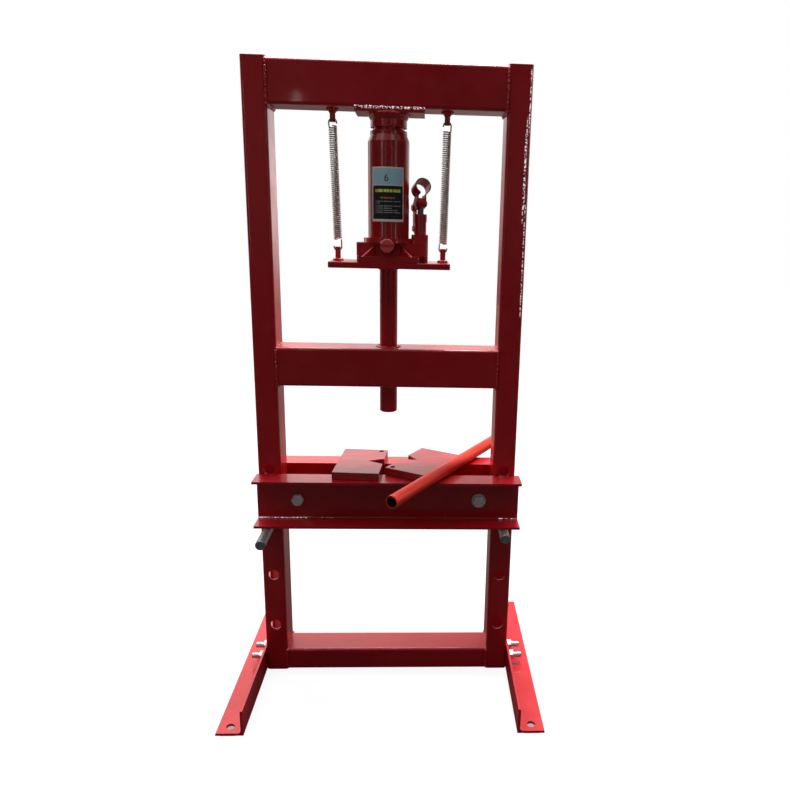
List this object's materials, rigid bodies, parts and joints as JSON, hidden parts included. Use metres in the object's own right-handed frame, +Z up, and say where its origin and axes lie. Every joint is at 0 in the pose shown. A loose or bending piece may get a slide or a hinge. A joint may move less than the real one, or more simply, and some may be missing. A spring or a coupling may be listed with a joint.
{
  "type": "hydraulic shop press",
  "caption": "Welded H-frame shop press: a bottle jack under the top beam drives a sprung carriage and ram down towards a pin-held channel bed with loose notched plates.",
  "frame": {"origin": "on the floor, midway between the feet and midway from front to back", "axes": "+Z up, front towards -Y, the jack's pump on the +X side"},
  "size_m": [0.51, 0.38, 1],
  "materials": {
    "frame_paint": "dark gloss red enamel",
    "plate_paint": "dark gloss red enamel over a cast plate",
    "handle_paint": "orange-red enamel",
    "jack_paint": "bright gloss red enamel",
    "machined_steel": "turned and lightly oiled",
    "zinc_plated_steel": "bright zinc",
    "pin_steel": "dark bare steel",
    "spring_wire": "drawn wire",
    "hard_chrome": "polished",
    "seal_rubber": "black nitrile",
    "label_film": "printed film"
  },
  "bodies": {
    "frame": {"left_upright": "frame_paint", "right_upright": "frame_paint", "top_crossbeam": "frame_paint", "mid_crossbeam": "frame_paint", "bottom_crossbeam": "frame_paint", "ram_guide_sleeve": "machined_steel", "left_foot": "frame_paint", "right_foot": "frame_paint", "foot_bolts": "zinc_plated_steel", "foot_washers": "zinc_plated_steel", "foot_nuts": "zinc_plated_steel", "jack_top_plate": "frame_paint", "jack_collar": "frame_paint", "upper_spring_studs": "frame_paint", "jack_ram": "hard_chrome", "piston_seal": "seal_rubber", "left_return_spring": "spring_wire", "right_return_spring": "spring_wire"},
    "carriage": {"carrier_plate": "frame_paint", "press_ram": "frame_paint", "lower_spring_studs": "frame_paint", "jack_base": "jack_paint", "jack_tank": "jack_paint", "jack_cylinder": "machined_steel", "jack_top_nut": "machined_steel", "rod_seal": "seal_rubber", "oil_filler_plug": "seal_rubber", "pump_cylinder": "jack_paint", "link_pin": "zinc_plated_steel", "jack_label": "label_film"},
    "valve": {"release_valve": "jack_paint"},
    "plunger": {"pump_plunger": "machined_steel"},
    "lever": {"handle_socket": "jack_paint", "plunger_pin": "zinc_plated_steel", "fulcrum_pin": "zinc_plated_steel"},
    "link": {"pump_link": "jack_paint"},
    "bed": {"bed_front_channel": "frame_paint", "bed_rear_channel": "frame_paint", "bed_spacers": "frame_paint", "bed_bolts": "zinc_plated_steel", "bed_washers": "zinc_plated_steel", "bed_nuts": "zinc_plated_steel"},
    "left_pin": {"left_bed_pin": "pin_steel"},
    "right_pin": {"right_bed_pin": "pin_steel"},
    "left_plate": {"left_press_plate": "plate_paint"},
    "right_plate": {"right_press_plate": "plate_paint"},
    "handle": {"jack_handle": "handle_paint"}
  },
  "joints": [
    {"name": "press_stroke", "type": "slide", "parent": "frame", "child": "carriage", "axis": [0, 0, -1], "range_m": [0, 0.085], "stiffness_N_per_m": 1500, "springref_m": -0.06, "deforming": ["left_return_spring", "right_return_spring"]},
    {"name": "release_valve_turn", "type": "hinge", "parent": "carriage", "child": "valve", "pos_m": [0, -0.04, 0.738], "axis": [0, -1, 0], "range_deg": [0, 360]},
    {"name": "pump_plunger_slide", "type": "slide", "parent": "carriage", "child": "plunger", "axis": [0, 0, -1], "range_m": [-0.00245, 0.0085]},
    {"name": "pump_lever", "type": "hinge", "parent": "plunger", "child": "lever", "pos_m": [0.0495, 0, 0.802], "axis": [0.9397, 0.342, 0], "range_deg": [-8.1, 28]},
    {"name": "pump_link_swing", "type": "hinge", "parent": "carriage", "child": "link", "pos_m": [0.04351, 0.01645, 0.764], "axis": [0.9397, 0.342, 0], "range_deg": [-1.7, 0.6]},
    {"name": "bed_lift", "type": "slide", "parent": "frame", "child": "bed", "axis": [0, 0, 1], "range_m": [0, 0.085]},
    {"name": "left_pin_pull", "type": "slide", "parent": "frame", "child": "left_pin", "axis": [0, -1, 0], "range_m": [0, 0.1]},
    {"name": "right_pin_pull", "type": "slide", "parent": "frame", "child": "right_pin", "axis": [0, -1, 0], "range_m": [0, 0.125]},
    {"name": "left_plate_slide", "type": "slide", "parent": "bed", "child": "left_plate", "axis": [-1, 0, 0], "range_m": [0, 0.06]},
    {"name": "right_plate_slide", "type": "slide", "parent": "bed", "child": "right_plate", "axis": [0.5, 0.866, 0], "range_m": [0, 0.05]},
    {"name": "handle_slide", "type": "slide", "parent": "bed", "child": "handle", "axis": [-0.5075, -0.8616, 0], "range_m": [0, 0.12]}
  ],
  "couplings": [
    {"joint": "pump_lever", "follows": "pump_plunger_slide", "rad_per_m": 56.8},
    {"joint": "pump_link_swing", "follows": "pump_plunger_slide", "rad_per_m": -3.05}
  ]
}
